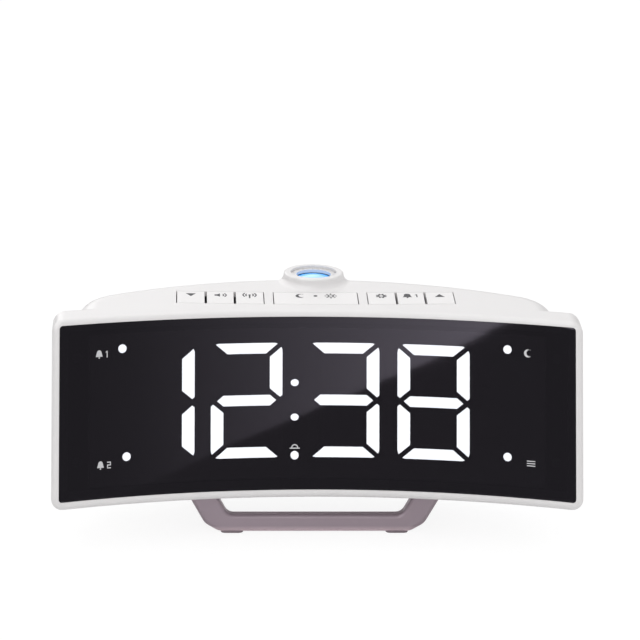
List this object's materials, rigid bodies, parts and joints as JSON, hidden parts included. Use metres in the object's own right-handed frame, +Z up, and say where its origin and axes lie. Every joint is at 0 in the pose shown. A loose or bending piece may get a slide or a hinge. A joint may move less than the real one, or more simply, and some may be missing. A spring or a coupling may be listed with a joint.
{
  "type": "projection clock radio",
  "caption": "Projection clock radio: concave tilted display window in a white case with flush top keys, a projector lens in a rear collar and a low sled stand.",
  "frame": {"origin": "on the table under the middle of the clock's footprint box: midway across and midway between its front corners and its projector tower", "axes": "+X to the right of someone facing the display, +Y to the back, +Z up"},
  "size_m": [0.21, 0.0854, 0.0975],
  "materials": {
    "case_white": "satin white moulding",
    "smoked_window": "smoked, glossy",
    "black_plastic": "matt black moulding",
    "lit_blue_white": "translucent diffuser, lit from behind",
    "unlit_diffuser": "translucent diffuser, not lit",
    "key_white": "satin white key",
    "stand_mauve": "satin mauve-grey coat",
    "pad_rubber": "matt",
    "lens_glass": "clear, polished",
    "circuit_green": "green laminate",
    "chip_black": "moulded package",
    "led_clear": "clear resin",
    "screw_steel": "zinc-plated",
    "shield_tin": "tinned sheet",
    "capacitor_sleeve": "dark sleeve",
    "cell_steel": "nickel-plated",
    "contact_brass": "plated strip",
    "paper_cone": "pressed paper"
  },
  "bodies": {
    "clock_case": {"front_housing": "case_white", "rear_cover": "case_white", "display_lens": "smoked_window", "digit_mask": "black_plastic", "hour_tens_segments": "lit_blue_white", "hour_segments": "lit_blue_white", "minute_tens_segments": "lit_blue_white", "minute_segments": "lit_blue_white", "unlit_segments": "unlit_diffuser", "colon_lights": "lit_blue_white", "indicator_lights": "lit_blue_white", "display_board": "circuit_green", "display_leds": "led_clear", "mask_screws": "screw_steel", "display_board_screws": "screw_steel", "key_board": "circuit_green", "key_switches": "chip_black", "key_board_screws": "screw_steel", "projector_tube": "black_plastic", "projector_tube_screws": "screw_steel", "slide_frame": "black_plastic", "lcd_slide": "lens_glass", "condenser_lens": "lens_glass", "projector_led_board": "circuit_green", "projector_led": "led_clear", "main_board": "circuit_green", "main_board_screws": "screw_steel", "main_chips": "chip_black", "main_capacitors": "capacitor_sleeve", "tuner_shield": "shield_tin", "dc_jack": "chip_black", "battery_holder": "black_plastic", "battery_contacts": "contact_brass", "rear_cover_screws": "screw_steel", "speaker_frame": "shield_tin", "speaker_cone": "paper_cone", "speaker_screws": "screw_steel", "stand": "stand_mauve", "stand_pads": "pad_rubber", "stand_screws": "screw_steel"},
    "snooze_button": {"key_snooze": "key_white", "plunger_snooze": "chip_black"},
    "radio_button": {"key_radio": "key_white", "plunger_radio": "chip_black"},
    "volume_button": {"key_volume": "key_white", "plunger_volume": "chip_black"},
    "volume_down_button": {"key_volume_down": "key_white", "plunger_volume_down": "chip_black"},
    "set_button": {"key_set": "key_white", "plunger_set": "chip_black"},
    "alarm_button": {"key_alarm": "key_white", "plunger_alarm": "chip_black"},
    "volume_up_button": {"key_volume_up": "key_white", "plunger_volume_up": "chip_black"},
    "focus_wheel": {"focus_ring": "case_white"},
    "lens_carrier": {"lens_cell": "black_plastic", "projection_lens": "lens_glass"},
    "battery_drawer": {"battery_tray": "case_white", "coin_cell": "cell_steel"}
  },
  "joints": [
    {"name": "snooze_press", "type": "slide", "parent": "clock_case", "child": "snooze_button", "axis": [0, 0, -1], "range_m": [0, 0.0006], "stiffness_N_per_m": 400},
    {"name": "radio_press", "type": "slide", "parent": "clock_case", "child": "radio_button", "axis": [0, 0, -1], "range_m": [0, 0.0006], "stiffness_N_per_m": 400},
    {"name": "volume_press", "type": "slide", "parent": "clock_case", "child": "volume_button", "axis": [0, 0, -1], "range_m": [0, 0.0006], "stiffness_N_per_m": 400},
    {"name": "volume_down_press", "type": "slide", "parent": "clock_case", "child": "volume_down_button", "axis": [0, 0, -1], "range_m": [0, 0.0006], "stiffness_N_per_m": 400},
    {"name": "set_press", "type": "slide", "parent": "clock_case", "child": "set_button", "axis": [0, 0, -1], "range_m": [0, 0.0006], "stiffness_N_per_m": 400},
    {"name": "alarm_press", "type": "slide", "parent": "clock_case", "child": "alarm_button", "axis": [0, 0, -1], "range_m": [0, 0.0006], "stiffness_N_per_m": 400},
    {"name": "volume_up_press", "type": "slide", "parent": "clock_case", "child": "volume_up_button", "axis": [0, 0, -1], "range_m": [0, 0.0006], "stiffness_N_per_m": 400},
    {"name": "focus_turn", "type": "hinge", "parent": "clock_case", "child": "focus_wheel", "pos_m": [0, 0.03141, 0.09], "axis": [0, 0, 1], "range_deg": [0, 270]},
    {"name": "focus_slide", "type": "slide", "parent": "clock_case", "child": "lens_carrier", "axis": [0, 0, -1], "range_m": [0, 0.002]},
    {"name": "battery_slide", "type": "slide", "parent": "clock_case", "child": "battery_drawer", "axis": [0, 1, 0], "range_m": [0, 0.024]}
  ],
  "couplings": [
    {"joint": "focus_turn", "follows": "focus_slide", "rad_per_m": 2356.2}
  ]
}
